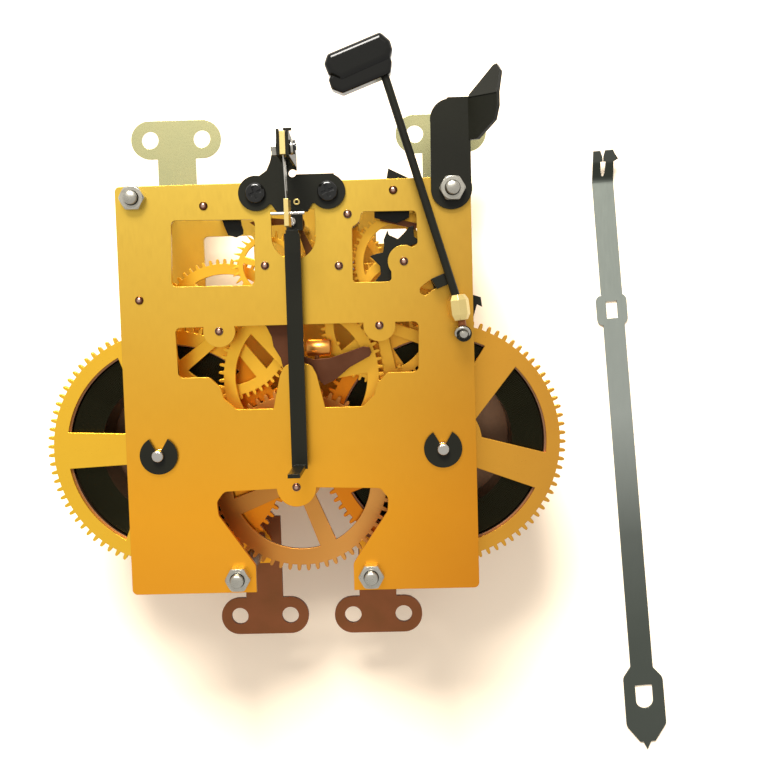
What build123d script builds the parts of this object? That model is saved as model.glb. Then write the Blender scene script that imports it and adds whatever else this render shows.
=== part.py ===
from build123d import *
import math
import os

# Longcase clock movement, lying dial side down, with its loose pendulum leader beside it.
# The origin is on the hand arbor's axis where its tip touches the table. Seen from the back:
# +X is right, +Y is twelve o'clock and +Z runs from the dial side to the back. All sizes in mm.

# Plates
PLATE_WIDTH = 108.0
PLATE_HEIGHT = 126.0
PLATE_THICK = 1.5
PLATE_MID_Y = -3.0
PLATE_CORNER = 1.6
FRONT_Z = 26.5
BACK_Z = 66.5
FRONT_TOP = FRONT_Z + PLATE_THICK
BACK_TOP = BACK_Z + PLATE_THICK
PLATE_TOP_Y = PLATE_MID_Y + PLATE_HEIGHT / 2
PLATE_LOW_Y = PLATE_MID_Y - PLATE_HEIGHT / 2
EAR_RADIUS = 4.9

# Fits
RUNNING = 0.05
FIXED = 0.02
END_SHAKE = 0.2
PIVOT_RADIUS = 1.2
PIVOT_PROUD = 0.75
PIVOT_DOME = 0.3
PIVOT_TIP_RADIUS = 0.85

# Pillars, nuts and feet
PILLARS = {"tl": (-48.4, 56.4), "tr": (48.4, 56.4), "bl": (-20.7, -61.5), "br": (20.7, -61.5)}
PILLAR_RADIUS = 3.4
STUD_RADIUS = 2.0
NUT_FLATS = 7.0
NUT_HEIGHT = 3.0
STRAP_THICK = 1.5
FOOT_THICK = 1.5
FOOT_HEAD = (30.4, 12.8)
FOOT_STEM_WIDTH = 12.8
FOOT_HOLE_SPACING = 17.6
FOOT_HOLE_RADIUS = 2.9
UPPER_STEM_OVERLAP = 20.0
LOWER_STEM_OVERLAP = 16.0
RIVET_RADIUS = 1.5

# Feet as (level, middle of the head, pillar it clears, rivets)
FEET = [
    ("upper", (-42.85, 79.6), "tl", [(-43.6, 55.0), (-38.9, 55.0)]),
    ("upper", (46.7, 79.0), "tr", [(43.2, 55.0), (43.2, 46.5)]),
    ("lower", (-18.4, -85.0), "bl", [(-22.4, -53.9), (-18.6, -56.6)]),
    ("lower", (21.1, -85.3), "br", [(18.8, -56.4), (23.6, -54.6)]),
]

# Arbor positions on the plates
CENTRE = (0.0, 0.0)
BARREL = (43.8, -22.35)
SECOND = (-1.7, -33.3)
THIRD = (-23.8, 15.4)
ESCAPE = (-9.0, 35.0)
VERGE = (0.0, 47.8)
PIN_WHEEL = (25.3, 15.9)
LOCK_WHEEL = (33.3, 35.1)
WARN_WHEEL = (13.5, 34.3)
FLY = (16.6, 49.8)
HAMMER = (50.5, 12.9)
LIFT_LEVER = (-47.9, 25.5)
WARN_LEVER = (-27.1, 53.5)
LOCK_LEVER = (30.6, 56.6)

# Heights of the wheels
GREAT_Z = 49.2
GREAT_THICK = 1.6
WHEEL_THICK = 1.2
WHEEL_SEAT = 2.2
SMALL_SEAT = 1.9
CENTRE_SEAT = 2.6
SECOND_Z = 52.2
THIRD_Z = 53.6
PIN_WHEEL_Z = 54.0
CENTRE_Z = 57.0
LOCK_WHEEL_Z = 58.0
ESCAPE_Z = 60.0
WARN_WHEEL_Z = 40.0
LEVER_Z = 62.4
LEVER_THICK = 1.2
LEVER_ARBOR_RADIUS = 1.5
LEVER_HUB_RADIUS = 2.9

# Tooth counts
GREAT_TEETH = 86
SECOND_PINION = 10
SECOND_TEETH = 60
CENTRE_PINION = 10
CENTRE_TEETH = 64
THIRD_PINION = 8
THIRD_TEETH = 60
ESCAPE_PINION = 8
ESCAPE_TEETH = 30
PIN_PINION = 8
PIN_TEETH = 56
LOCK_PINION = 8
LOCK_TEETH = 48
WARN_PINION = 12
WARN_TEETH = 42
FLY_PINION = 7

# Tooth flanks as (height above the pitch circle in modules, share of a tooth pitch)
WHEEL_FLANK = [(-0.9, 0.46), (0.0, 0.42), (0.75, 0.33), (1.15, 0.16)]
PINION_FLANK = [(-1.4, 0.26), (0.0, 0.34), (0.35, 0.27), (0.6, 0.12)]

# Barrels, mainsprings and winding arbors
DRUM_RADIUS = 34.2
DRUM_WALL = 1.0
DRUM_FLOOR_Z = 30.0
CROSSING_RADIUS = 33.7
WINDING_CORE = 3.5
SPRING_HUB = 7.4
WINDING_PIVOT = 1.85
WINDING_SQUARE = 4.4
SQUARE_LENGTH = 14.0
WINDING_TOP = 71.4
CLIP_RADIUS = 5.85
CLIP_GROOVE = 1.4
SPRING_TURNS = 10
SPRING_PITCH = 0.95
SPRING_THICK = 0.45
SPRING_OUTER = 32.6
SPRING_Z = (31.8, 48.4)
SPRING_HUB_GAP = 0.9
SPRING_GAP_POINTS = 60
RATCHET_Z = 24.3
RATCHET_THICK = 1.6
RATCHET_RADIUS = 9.0
RATCHET_TEETH = 18
CLICK_PIVOT = (12.5, 8.0)

# Escapement, crutch and suspension
ESCAPE_RADIUS = 11.2
PALLET_CLEAR = 0.75
CRUTCH_Z = 71.6
CRUTCH_WIDTH = 4.8
CRUTCH_THICK = 1.2
CRUTCH_LOW_Y = -27.0
CRUTCH_FOOT_TOP = 91.0
CRUTCH_FOOT_WIDTH = 3.6
SUSPENSION_Z = 88.0
FERRULE_Z = (SUSPENSION_Z - 3.5, SUSPENSION_Z + 3.5)
TOP_FERRULE_THICK = 1.6
LOW_FERRULE_THICK = 1.3
LOW_FERRULE_X = 0.45
STRIP_THICK = 0.3
TOP_FERRULE_Y = (65.3, 71.8)
LOW_FERRULE_Y = (45.2, 52.9)
PIN_X = 0.5
PIN_Y = 49.0
PIN_LENGTH = 9.6
PIN_RADIUS = 0.45
CHEEK_X = 1.35
CHEEK_THICK = 0.8
CLAMP_Y = 67.6
CLAMP_RADIUS = 0.9
SCREW_HEAD_RADIUS = 3.1
SCREW_HEAD_HEIGHT = 1.8
LOBE_X = 10.9
LOBE_Y = 56.7
LOBE_RADIUS = 5.3

# Hammer
SLOT_RADIUS = 17.3
SLOT_WIDTH = 3.0
SLOT_ANGLES = (104.0, 130.0)
TAB = (16.2, 18.3, 119)
TAB_HEAD = (15.4, 18.9, 119)
HAMMER_Z = 74.5
HAMMER_ARBOR_RADIUS = 1.5
ROD_RADIUS = 1.25
HUB_LOW = (0.0, 3.6)
HUB_HIGH = (-1.2, 11.6)
ROD_END = (-22.3, 79.6)
HEAD_TILT = 22.0
HEAD_MID = (-28.9, 81.0)
HEAD_UPPER = [(-9.8, 2.8), (-7.8, 5.0), (8.9, 4.6), (10.6, 1.2), (10.3, -1.4), (8.5, -3.8), (-7.0, -3.8), (-9.9, -0.6)]
HEAD_LOWER = [(8.9, -2.0), (8.7, -4.6), (7.0, -7.5), (-8.2, -7.1), (-10.7, -4.6), (-10.4, -1.6), (-8.0, -0.4)]
HEAD_UPPER_THICK = 8.6
HEAD_LOWER_THICK = 6.8

# Motion work on the dial side
MOTION_STUD = (11.6, -8.53)
CANNON_TEETH = 12
MINUTE_TEETH = 36
MINUTE_PINION = 10
HOUR_TEETH = 40
CANNON_RADIUS = 2.5
HOUR_PIPE_RADIUS = 3.6
HAND_PIN_RADIUS = 1.5
HAND_TIP_RADIUS = 1.2
HAND_TIP_LENGTH = 6.5
RACK_STUD = (-24.0, -10.0)
SNAIL_Z = 17.6
SNAIL_STEPS = 12

# Pendulum leader
LEADER_TOP = (104.4, 73.8)
LEADER_TILT = 3.8
LEADER_LENGTH = 220.2
LEADER_THICK = 0.8
LEADER_HOLE_AT = 56.1
LEADER_EYE_X = 0.35
LEADER_FORK_Y = -10.4

# Fly
FLY_RADIUS = 10.0
FLY_Z = (43.5, 53.5)

os.makedirs("parts", exist_ok=True)
nodes = {}


def distance(a, b):
    """Centre distance of two arbors."""
    return math.hypot(b[0] - a[0], b[1] - a[1])


def bearing(a, b):
    """Direction from one arbor to another, in radians."""
    return math.atan2(b[1] - a[1], b[0] - a[0])


def polar(radius, degrees, centre=(0.0, 0.0)):
    """A point at a radius and an angle from a centre."""
    angle = math.radians(degrees)
    return (centre[0] + radius * math.cos(angle), centre[1] + radius * math.sin(angle))


def rod(place, radius, low, high):
    """Round bar along Z."""
    bar = Cylinder(radius, high - low, align=(Align.CENTER, Align.CENTER, Align.MIN))
    return Pos(place[0], place[1], low) * bar


def slab(sketch, low, high):
    """Flat sketch raised from one height to another."""
    return Pos(0, 0, low) * extrude(sketch, amount=high - low)


def outline(points):
    """Closed flat face through a list of points."""
    return make_face(Polyline(*points, close=True))


def disc(place, radius):
    """Flat round face."""
    return Pos(place[0], place[1]) * Circle(radius)


def block(low, high):
    """Box between two corners."""
    size = [high[i] - low[i] for i in range(3)]
    box = Box(*size, align=(Align.MIN, Align.MIN, Align.MIN))
    return Pos(*low) * box


def mirrored(shape):
    """The same shape on the other side of the centre line."""
    return mirror(shape, about=Plane.YZ)


def module_of(wheel_teeth, pinion_teeth, a, b):
    """Module that puts a wheel and a pinion in mesh between two arbors."""
    return 2 * distance(a, b) / (wheel_teeth + pinion_teeth)


def gear_face(teeth, module, flank, phase):
    """Toothed face: one tooth is centred on the phase angle."""
    step = 2 * math.pi / teeth
    pitch_radius = teeth * module / 2
    points = []
    for i in range(teeth):
        middle = phase + i * step
        for side, stations in ((-1, flank), (1, reversed(flank))):
            for height, share in stations:
                radius = pitch_radius + height * module
                angle = middle + side * share * step / 2
                points.append((radius * math.cos(angle), radius * math.sin(angle)))
    return outline(points)


def crossings(rim, hub, count, hub_width, rim_width, first_degrees):
    """Openings between tapered spokes."""
    windows = Circle(rim) - Circle(hub)
    reach = rim * 1.02
    for i in range(count):
        spoke = Polygon(
            (0, -hub_width / 2), (reach, -rim_width / 2), (reach, rim_width / 2), (0, hub_width / 2),
            align=None,
        )
        windows -= Rot(0, 0, first_degrees + i * 360 / count) * spoke
    return windows


def gap_phase(a, b, pinion_teeth):
    """Phase of a pinion at b that shows a gap to a wheel at a."""
    return bearing(a, b) + math.pi + math.pi / pinion_teeth


def train_wheel(place, target, teeth, mate_teeth, low, rim_share, spokes, bore):
    """Train wheel with a tooth pointing at its mate's arbor."""
    module = module_of(teeth, mate_teeth, place, target)
    face = gear_face(teeth, module, WHEEL_FLANK, bearing(place, target))
    root = teeth * module / 2 - 0.9 * module
    rim = root * rim_share
    count, hub_width, rim_width, turn = spokes
    hub = max(bore + 2.2, 0.24 * root)
    face -= crossings(rim, hub, count, hub_width, rim_width, turn)
    face -= Circle(bore)
    return slab(Pos(*place) * face, low, low + WHEEL_THICK)


def pivots(place):
    """Thin ends that run in both plates; the back end is domed in two steps."""
    shoulder = BACK_TOP + PIVOT_PROUD - PIVOT_DOME
    body = rod(place, PIVOT_RADIUS, FRONT_Z - PIVOT_PROUD, shoulder)
    return body + rod(place, PIVOT_TIP_RADIUS, shoulder, BACK_TOP + PIVOT_PROUD)


def train_arbor(place, radius, pinion, wheel_z=None, wheel_bore=None):
    """Steel arbor between the plates with a cut pinion, a wheel seat and two pivots."""
    body = rod(place, radius, FRONT_TOP + END_SHAKE, BACK_Z - END_SHAKE)
    body += pivots(place)
    teeth, module, phase, start, end = pinion
    leaves = gear_face(teeth, module, PINION_FLANK, phase)
    body += slab(Pos(*place) * leaves, start, end)
    if wheel_z is not None:
        body += rod(place, wheel_bore, wheel_z, wheel_z + WHEEL_THICK)
    return body


def pivot_holes(plate, low):
    """Round pivot holes of every train and lever arbor."""
    running = [SECOND, CENTRE, THIRD, ESCAPE, VERGE, PIN_WHEEL, LOCK_WHEEL, WARN_WHEEL, FLY]
    running += [LIFT_LEVER, WARN_LEVER, LOCK_LEVER]
    for place in running:
        plate -= rod(place, PIVOT_RADIUS + RUNNING, low - 1, low + PLATE_THICK + 1)
    return plate


def plate_blank():
    """Rectangular plate outline."""
    return Pos(0, PLATE_MID_Y) * RectangleRounded(PLATE_WIDTH, PLATE_HEIGHT, PLATE_CORNER)


def rounded(points, radius):
    """Closed face through points with every corner rounded."""
    face = outline(points)
    return fillet(face.vertices(), radius)


def window_top_left():
    """Opening in front of the going train's upper end."""
    return rounded([(-37.2, 49.4), (-11.6, 49.0), (-12.3, 29.1), (-37.8, 29.4)], 1.4)


def window_top_centre():
    """U-shaped opening round the pallets and the escape wheel."""
    slot = Pos(0, 47.5) * Rectangle(13.4, 8.4)
    return slot + Pos(0, 43.3) * Circle(6.7)


def window_top_right():
    """Opening over the locking wheel, with an ear left for its pivot."""
    points = [
        (17.6, 29.1), (17.8, 45.6), (21.2, 50.4), (37.4, 50.2), (37.6, 40.2), (29.4, 36.0), (29.4, 29.1),
    ]
    face = rounded(points, 1.2)
    face -= disc(LOCK_WHEEL, EAR_RADIUS)
    face -= disc(FLY, EAR_RADIUS - 0.9)
    return face


def window_middle():
    """Wide opening over the centre wheel; a round-topped tongue rises into it."""
    half = [
        (0, 16.8), (37.3, 16.8), (36.9, 1.4), (27.4, 1.4), (24.2, -1.8),
        (23.2, -5.4), (19.4, -8.8), (0, -8.8),
    ]
    right = outline(half)
    right = fillet(right.vertices().filter_by(lambda v: v.X > 1), 1.6)
    face = right + mirrored(right)
    tongue = outline([(-8.2, -10), (-5.6, 1.4), (-4.2, 4.2), (0, 5.6), (4.2, 4.2), (5.6, 1.4), (8.2, -10)])
    tongue = fillet(tongue.vertices().filter_by(lambda v: v.Y > 0), 2.2)
    face -= tongue
    face -= disc(THIRD, EAR_RADIUS)
    face -= disc(PIN_WHEEL, EAR_RADIUS)
    return face


def window_bottom():
    """Notch over the second wheel, open to the plate's lower edge."""
    low = PLATE_LOW_Y - 2
    half = [(0, -33.4), (24.2, -34.2), (26.6, -37.4), (26.2, -41.6), (15.2, -57.6), (15.2, low), (0, low)]
    right = outline(half)
    inner = right.vertices().filter_by(lambda v: v.X > 1 and v.Y > low + 1)
    right = fillet(inner, 2.2)
    face = right + mirrored(right)
    face -= disc(SECOND, EAR_RADIUS + 1.2)
    return face


def hammer_slot():
    """Curved slot that the hammer tail comes through."""
    first, last = SLOT_ANGLES
    middle = (first + last) / 2
    inner = SLOT_RADIUS - SLOT_WIDTH / 2
    outer = SLOT_RADIUS + SLOT_WIDTH / 2
    a = polar(outer, first, HAMMER)
    b = polar(outer, middle, HAMMER)
    c = polar(outer, last, HAMMER)
    d = polar(inner, last, HAMMER)
    e = polar(inner, middle, HAMMER)
    f = polar(inner, first, HAMMER)
    edges = [ThreePointArc(a, b, c), Line(c, d), ThreePointArc(d, e, f), Line(f, a)]
    ends = disc(polar(SLOT_RADIUS, first, HAMMER), SLOT_WIDTH / 2)
    ends += disc(polar(SLOT_RADIUS, last, HAMMER), SLOT_WIDTH / 2)
    return make_face(Wire(edges)) + ends


def make_plates():
    """Back plate with its windows; the front plate has the same bearings and the same lower notch."""
    face = plate_blank()
    for window in (window_top_left, window_top_centre, window_top_right, window_middle, window_bottom):
        face -= window()
    face -= hammer_slot()
    back = slab(face, BACK_Z, BACK_TOP)
    back = pivot_holes(back, BACK_Z)
    front_face = plate_blank()
    front_face -= rounded([(-34.5, 46.6), (-17.5, 46.6), (-17.5, 28.4), (-34.5, 28.4)], 1.4)
    front_face -= rounded([(24.0, 47.4), (39.0, 47.4), (39.0, 42.6), (24.0, 42.6)], 1.0)
    front_face -= window_bottom()
    front = slab(front_face, FRONT_Z, FRONT_TOP)
    front = pivot_holes(front, FRONT_Z)
    front -= rod(CENTRE, HAND_PIN_RADIUS + RUNNING, FRONT_Z - 1, FRONT_TOP + 1)
    for side in (-1, 1):
        place = (side * BARREL[0], BARREL[1])
        back -= rod(place, WINDING_PIVOT + RUNNING, BACK_Z - 1, BACK_TOP + 1)
        front -= rod(place, 3.0 + RUNNING, FRONT_Z - 1, FRONT_TOP + 1)
    for place in PILLARS.values():
        back -= rod(place, STUD_RADIUS + FIXED, BACK_Z - 1, BACK_TOP + 1)
        front -= rod(place, 2.5 + FIXED, FRONT_Z - 1, FRONT_TOP + 1)
    back -= rod(HAMMER, HAMMER_ARBOR_RADIUS + RUNNING, BACK_Z - 1, BACK_TOP + 1)
    for side in (-1, 1):
        back -= rod((side * LOBE_X, LOBE_Y), 1.5 + FIXED, BACK_Z - 1, BACK_TOP + 1)
    for foot in FEET:
        for place in foot[3]:
            front -= rod(place, RIVET_RADIUS + FIXED, FRONT_Z - 1, FRONT_TOP + 1)
    for place in stud_places():
        front -= rod(place, 0.8 + FIXED, FRONT_Z - 1, FRONT_TOP + 1)
    nodes["back_plate"] = back
    nodes["front_plate"] = front


def make_pillars():
    """Four turned pillars with threaded upper ends, and their nuts."""
    posts = []
    nuts = []
    for name, place in PILLARS.items():
        seat = BACK_TOP + (STRAP_THICK if name == "tr" else 0.0)
        post = rod(place, PILLAR_RADIUS, FRONT_TOP, BACK_Z)
        post += rod(place, 2.5, FRONT_Z, FRONT_TOP)
        post += rod(place, STUD_RADIUS, BACK_Z, seat + NUT_HEIGHT + 1.6)
        tip = post.faces().sort_by(Axis.Z)[-1]
        post = fillet(tip.edges(), 0.9)
        posts.append(post)
        nut = extrude(RegularPolygon(NUT_FLATS / 2, 6, major_radius=False), amount=NUT_HEIGHT)
        cap = rod(CENTRE, NUT_FLATS * 0.56, 0, NUT_HEIGHT)
        cap = chamfer(cap.faces().sort_by(Axis.Z)[-1].edges(), 0.5)
        nut = nut & cap
        nut = Pos(place[0], place[1], seat) * nut
        nuts.append(nut - rod(place, STUD_RADIUS + FIXED, seat - 1, seat + NUT_HEIGHT + 1))
    nodes["pillars"] = Compound(children=posts)
    nodes["plate_nuts"] = Compound(children=nuts)


def foot_face(level, x, y, corner, places):
    """One foot's outline: round-ended head with two holes, and a stem cut out round the pillar."""
    head = Pos(x, y) * RectangleRounded(FOOT_HEAD[0], FOOT_HEAD[1], FOOT_HEAD[1] / 2 - 0.1)
    end = PLATE_TOP_Y - UPPER_STEM_OVERLAP if level == "upper" else PLATE_LOW_Y + LOWER_STEM_OVERLAP
    face = head + Pos(x, (y + end) / 2) * Rectangle(FOOT_STEM_WIDTH, abs(y - end))
    for side in (-1, 1):
        face -= disc((x + side * FOOT_HOLE_SPACING / 2, y), FOOT_HOLE_RADIUS)
    face -= disc(PILLARS[corner], 3.0)
    for place in places:
        face -= disc(place, RIVET_RADIUS + FIXED)
    return face


def make_feet():
    """T-shaped feet riveted to the dial side of the front plate."""
    groups = {"upper": [], "lower": []}
    rivets = []
    low = FRONT_Z - FOOT_THICK
    for level, (x, y), corner, places in FEET:
        groups[level].append(slab(foot_face(level, x, y, corner, places), low, FRONT_Z))
        for place in places:
            head = rod(place, RIVET_RADIUS + 0.8, low - 0.8, low)
            head = chamfer(head.faces().sort_by(Axis.Z)[0].edges(), 0.4)
            rivets.append(rod(place, RIVET_RADIUS, low, FRONT_TOP) + head)
    nodes["upper_feet"] = Compound(children=groups["upper"])
    nodes["lower_feet"] = Compound(children=groups["lower"])
    nodes["foot_rivets"] = Compound(children=rivets)


def stud_places():
    """Dial-side studs: minute wheel, rack and the two clicks."""
    places = [MOTION_STUD, RACK_STUD]
    for side in (-1, 1):
        places.append((side * (BARREL[0] - CLICK_PIVOT[0]), BARREL[1] + CLICK_PIVOT[1]))
    return places


def make_front_studs():
    """Headed studs that the dial-side pieces turn on."""
    studs = []
    lengths = [FRONT_Z - 16.2, FRONT_Z - 16.8, 3.0, 3.0]
    for place, length in zip(stud_places(), lengths):
        stud = rod(place, 1.0, FRONT_Z - length, FRONT_Z)
        stud += rod(place, 0.8, FRONT_Z, FRONT_TOP)
        stud += rod(place, 1.9, FRONT_Z - length - 0.8, FRONT_Z - length)
        studs.append(stud)
    nodes["front_studs"] = Compound(children=studs)


def make_suspension():
    """Steel bracket with two cheeks, and the suspension spring between them."""
    face = disc((-LOBE_X, LOBE_Y), LOBE_RADIUS)
    face += disc((LOBE_X, LOBE_Y), LOBE_RADIUS)
    middle = [
        (-10.9, 62.0), (-9.6, 61.9), (-7.4, 63.4), (-6.2, 66.0), (-5.4, 69.2), (1.75, 69.2), (1.75, 63.2),
        (0.4, 63.2), (0.4, 62.0), (12.9, 62.0), (12.9, 53.6), (6.2, 53.2), (4.6, 50.8), (-4.6, 50.8), (-6.2, 53.2),
        (-12.9, 53.6),
    ]
    face += outline(middle)
    face -= Pos(0.4, 62.4) * Circle(1.2)
    for side in (-1, 1):
        face -= disc((side * LOBE_X, LOBE_Y), 1.6)
    base_z = BACK_TOP + STRAP_THICK
    base = slab(face, BACK_TOP, base_z)
    base -= rod(VERGE, 3.0, BACK_TOP - 1, base_z + 1)
    nodes["suspension_bracket"] = base + cheeks(base_z)
    top = ferrule(0, TOP_FERRULE_THICK, TOP_FERRULE_Y)
    nodes["suspension_top_block"] = top - cross_bar(0, CLAMP_Y, CLAMP_RADIUS + RUNNING, 4)
    half = STRIP_THICK / 2
    top_y = TOP_FERRULE_Y[0] - 0.1
    low_y = LOW_FERRULE_Y[1]
    strip = outline([
        (-half, top_y), (half, top_y), (LOW_FERRULE_X + half, low_y), (LOW_FERRULE_X - half, low_y),
    ])
    strip = slab(strip, FERRULE_Z[0] + 0.8, FERRULE_Z[1] - 0.8)
    strip -= block((-2, 55.4, SUSPENSION_Z - 1.1), (2, 62.8, SUSPENSION_Z + 1.1))
    nodes["suspension_strip"] = strip
    low = ferrule(LOW_FERRULE_X, LOW_FERRULE_THICK, LOW_FERRULE_Y)
    nodes["suspension_low_block"] = low - cross_bar(PIN_X, PIN_Y, PIN_RADIUS + 0.01, PIN_LENGTH)
    nodes["suspension_pin"] = cross_bar(PIN_X, PIN_Y, PIN_RADIUS, PIN_LENGTH)
    screws = [clamp_screw()]
    for side in (-1, 1):
        screws.append(bracket_screw((side * LOBE_X, LOBE_Y), base_z))
    nodes["suspension_screws"] = Compound(children=screws)


def cross_bar(middle_x, y, radius, length):
    """Round bar along X at the height of the suspension spring."""
    return Pos(middle_x, y, SUSPENSION_Z) * Rot(0, 90, 0) * Cylinder(radius, length)


def ferrule(x, thick, span_y):
    """Brass block that clamps one end of the suspension strip."""
    return block((x - thick / 2, span_y[0], FERRULE_Z[0]), (x + thick / 2, span_y[1], FERRULE_Z[1]))


def cheeks(base_z):
    """Two upright cheeks of the bracket, bored for the clamp screw; a small lip closes the right one."""
    high = SUSPENSION_Z + 3.4
    profile = [(64.0, base_z), (69.2, base_z), (72.4, high), (65.0, high)]
    cheek = outline([(0, y, z) for y, z in profile])
    cheek = extrude(cheek, amount=CHEEK_THICK / 2, both=True)
    cheek -= cross_bar(0, CLAMP_Y, CLAMP_RADIUS + RUNNING, 4)
    lip = block((0.3, TOP_FERRULE_Y[1] + 0.1, high - 1.2), (CHEEK_X + 1.3, TOP_FERRULE_Y[1] + 0.8, high))
    return Pos(-CHEEK_X, 0, 0) * cheek + Pos(CHEEK_X, 0, 0) * cheek + lip


def clamp_screw():
    """Screw through both cheeks and the block between them, with its head and its nut."""
    body = cross_bar(0, CLAMP_Y, CLAMP_RADIUS, 2 * CHEEK_X + 4.6)
    head_x = CHEEK_X + CHEEK_THICK / 2 + FIXED
    body += cross_bar(head_x + 0.8, CLAMP_Y, 2.0, 1.6)
    body += cross_bar(-head_x - 0.8, CLAMP_Y, 2.0, 1.6)
    return body


def bracket_screw(place, seat):
    """Pan head screw with a cross recess."""
    head = rod(place, SCREW_HEAD_RADIUS, seat, seat + SCREW_HEAD_HEIGHT)
    head = fillet(head.faces().sort_by(Axis.Z)[-1].edges(), 1.0)
    head += rod(place, 1.5, BACK_Z - 1.2, seat)
    for turn in (20, 110):
        head -= Pos(place[0], place[1], seat + SCREW_HEAD_HEIGHT) * Rot(0, 0, turn) * Box(3.8, 0.8, 2.0)
    return head


def make_strap():
    """Folded strap for the gong block, held by the upper right pillar nut."""
    x, y = PILLARS["tr"]
    width = 12.4
    top_y = 83.4
    fold_x = x + width / 2 - 0.4
    strap = disc((x - 0.2, y), width / 2)
    left_x = x - 0.2 - width / 2
    strap += outline([(left_x, y), (left_x + 0.3, 77.5), (47.6, top_y), (fold_x, top_y), (fold_x, y)])
    strap += disc((x - 0.2, 77.0), width / 2 - 0.2)
    strap -= outline([(fold_x, 90), (60, 90), (60, 70), (fold_x, 70)])
    strap -= disc((x, y), STUD_RADIUS + 0.1)
    body = slab(strap, BACK_TOP, BACK_TOP + STRAP_THICK)
    wing = outline([(-1.2, 70.6), (3.6, 70.6), (10.2, 75.4), (11.4, 79.5), (11.4, top_y), (-1.2, top_y)])
    wing = slab(wing, 0, STRAP_THICK)
    lean = Pos(fold_x, 0, BACK_TOP) * Rot(0, -42, 0)
    body += lean * wing
    flap = outline([(1.0, -1.0), (11.4, -1.0), (11.4, 0), (10.4, 7.0), (8.6, 9.2), (7.4, 8.8), (1.0, 0)])
    flap = Pos(0, top_y, 0) * Rot(-24, 0, 0) * slab(flap, 0, STRAP_THICK)
    body += lean * flap
    nodes["gong_strap"] = body


def make_crutch():
    """Verge arbor, anchor pallets and the long flat crutch with its bent foot."""
    body = rod(VERGE, 1.6, FRONT_TOP + END_SHAKE, BACK_Z - END_SHAKE)
    body += rod(VERGE, PIVOT_RADIUS, FRONT_Z - PIVOT_PROUD, CRUTCH_Z + 0.9)
    nodes["verge_arbor"] = body
    collar = Pos(VERGE[0] + 0.7, VERGE[1]) * Rectangle(CRUTCH_WIDTH + 0.2, 5.4)
    collar -= disc(VERGE, PIVOT_RADIUS + 0.01)
    tab_low = BACK_TOP + 1.9
    bar = slab(collar, tab_low, tab_low + CRUTCH_THICK)
    step_y = VERGE[1] - 3.6
    bar += block((-1.9, step_y - 0.2, tab_low), (1.9, step_y + 1.0, CRUTCH_Z + CRUTCH_THICK))
    bar += block(
        (-CRUTCH_WIDTH / 2, CRUTCH_LOW_Y, CRUTCH_Z), (CRUTCH_WIDTH / 2, step_y, CRUTCH_Z + CRUTCH_THICK)
    )
    half = CRUTCH_FOOT_WIDTH / 2
    bar += block((-half, CRUTCH_LOW_Y, CRUTCH_Z), (half, CRUTCH_LOW_Y + CRUTCH_THICK, CRUTCH_FOOT_TOP))
    nodes["crutch"] = bar
    nodes["pallets"] = make_pallets()


def make_pallets():
    """Anchor with two pallets held just outside the escape wheel's tip circle."""
    hub = disc(VERGE, 2.9)
    direction = math.degrees(bearing(ESCAPE, VERGE))
    spread = 47.0
    reach = ESCAPE_RADIUS + PALLET_CLEAR
    face = hub
    for side in (-1, 1):
        angle = direction + side * spread
        tip = polar(reach, angle, ESCAPE)
        outer = polar(reach + 2.6, angle + side * 9, ESCAPE)
        heel = polar(reach + 3.0, angle - side * 12, ESCAPE)
        inner = polar(reach + 0.5, angle - side * 10, ESCAPE)
        face += outline([tip, outer, heel, inner])
        shoulder = polar(1.8, direction + 180 - side * 90, VERGE)
        root = polar(1.8, direction + side * 20, VERGE)
        face += outline([inner, heel, polar(1.8, direction + side * 90, VERGE), VERGE, shoulder])
        face += outline([heel, polar(2.4, direction + side * 90, VERGE), root, VERGE, inner])
    face -= disc(VERGE, 1.6 + FIXED)
    face -= disc(ESCAPE, reach - 0.02)
    return slab(face, ESCAPE_Z, ESCAPE_Z + WHEEL_THICK)


def spiral_edges():
    """Both sides of the mainspring strip: half-turn arcs about two centres, then one wide arc to the hub."""
    half = SPRING_THICK / 2
    outer_edges = []
    inner_edges = []
    centre_x = 0.0
    side = 1
    halves = [SPRING_OUTER - i * SPRING_PITCH / 2 for i in range(2 * SPRING_TURNS)]
    halves.append((halves[-1] + SPRING_HUB + SPRING_HUB_GAP) / 2)
    previous = halves[0]
    for i, size in enumerate(halves):
        if i > 0:
            centre_x += side * (previous - size)
        for edges, offset in ((outer_edges, half), (inner_edges, -half)):
            r = size + offset
            start = (centre_x + side * r, 0)
            top = (centre_x, side * r)
            end = (centre_x - side * r, 0)
            edges.append(ThreePointArc(start, top, end))
        previous = size
        side = -side
    return outer_edges, inner_edges


def spiral_face():
    """Closed section of the mainspring strip."""
    outer_edges, inner_edges = spiral_edges()
    start_cap = Line(inner_edges[0] @ 0, outer_edges[0] @ 0)
    end_cap = Line(outer_edges[-1] @ 1, inner_edges[-1] @ 1)
    return make_face(Wire(outer_edges + [end_cap] + inner_edges + [start_cap]))


def spring_gap():
    """Least gap from each half turn's inner side to the next turn's outer side, over points along both."""
    outer_edges, inner_edges = spiral_edges()
    stations = [i / SPRING_GAP_POINTS for i in range(SPRING_GAP_POINTS + 1)]
    gaps = []
    for turn, outer_turn in enumerate(inner_edges[:-2]):
        inner_turn = outer_edges[turn + 2]
        targets = [inner_turn @ station for station in stations]
        for station in stations:
            point = outer_turn @ station
            gaps.append(min((point - target).length for target in targets))
    return min(gaps)


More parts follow.
